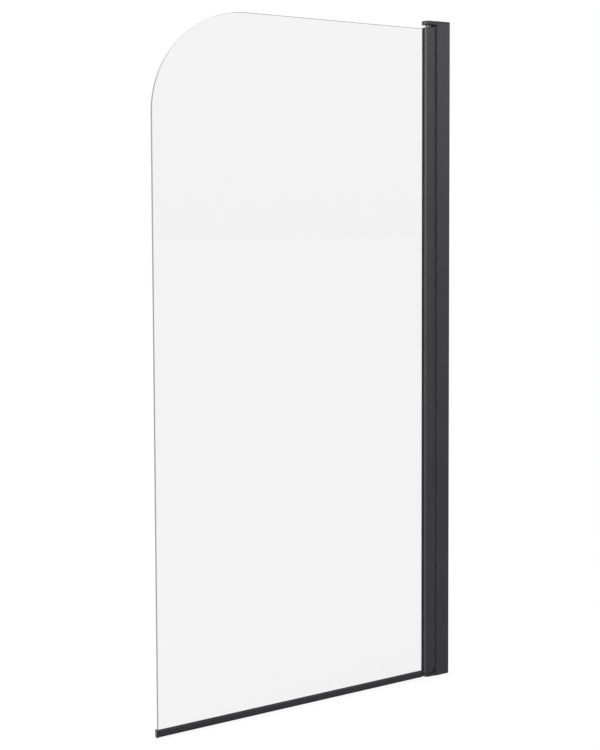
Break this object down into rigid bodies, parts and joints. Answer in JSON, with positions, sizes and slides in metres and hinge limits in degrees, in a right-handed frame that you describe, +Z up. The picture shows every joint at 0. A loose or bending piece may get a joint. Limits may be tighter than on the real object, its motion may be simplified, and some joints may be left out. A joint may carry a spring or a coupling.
{
  "type": "bath screen",
  "caption": "Hinged glass bath screen with a round top corner, black pivot and wall profiles, width adjustment and a bottom seal.",
  "frame": {"origin": "centre of the four wall screw holes, on the wall face of the wall channel, 700 mm above the foot of the frame and in the middle of the glass thickness", "axes": "+Z up along the frame, +X into the wall, -X towards the free edge of the glass, -Y towards the front that the picture shows"},
  "size_m": [0.678, 0.032, 1.4026],
  "materials": {
    "black_powder_coat": "satin black powder coat on extruded aluminium",
    "channel_aluminium": "mill-finish extrusion",
    "clear_glass": "clear toughened, ground edges",
    "black_rubber": "matt black soft gasket",
    "black_seal_plastic": "semi-matt black extruded plastic",
    "black_plastic": "moulded black plastic",
    "bush_plastic": "natural white bearing plastic",
    "steel": "turned stainless steel",
    "black_steel": "blackened steel"
  },
  "bodies": {
    "wall_mount": {"wall_channel": "channel_aluminium"},
    "post": {"wall_profile": "black_powder_coat", "top_cap": "black_powder_coat", "bottom_cap": "black_powder_coat", "top_cap_screws": "black_steel", "bottom_cap_screws": "black_steel", "top_pivot_pin": "steel", "bottom_pivot_pin": "steel", "pin_lock_screws": "black_steel", "thrust_washer": "bush_plastic", "adjusting_screws": "steel", "adjusting_nuts": "steel", "screw_covers": "black_plastic", "splash_seal_front": "black_rubber", "splash_seal_rear": "black_rubber"},
    "panel": {"pivot_profile": "black_powder_coat", "glass_panel": "clear_glass", "glazing_gasket_front": "black_rubber", "glazing_gasket_rear": "black_rubber", "glass_setting_blocks": "black_plastic", "profile_top_plug": "black_plastic", "profile_bottom_plug": "black_plastic", "top_pivot_bush": "bush_plastic", "bottom_pivot_bush": "bush_plastic", "glass_lock_screw": "black_steel", "bottom_seal_clip": "black_seal_plastic", "bottom_seal_bulb": "black_rubber", "seal_end_cap": "black_plastic"}
  },
  "joints": [
    {"name": "width_adjust", "type": "slide", "parent": "wall_mount", "child": "post", "axis": [-1, 0, 0], "range_m": [0, 0.015]},
    {"name": "panel_pivot", "type": "hinge", "parent": "post", "child": "panel", "pos_m": [-0.0455, 0, 0], "axis": [0, 0, 1], "range_deg": [-90, 90]}
  ]
}
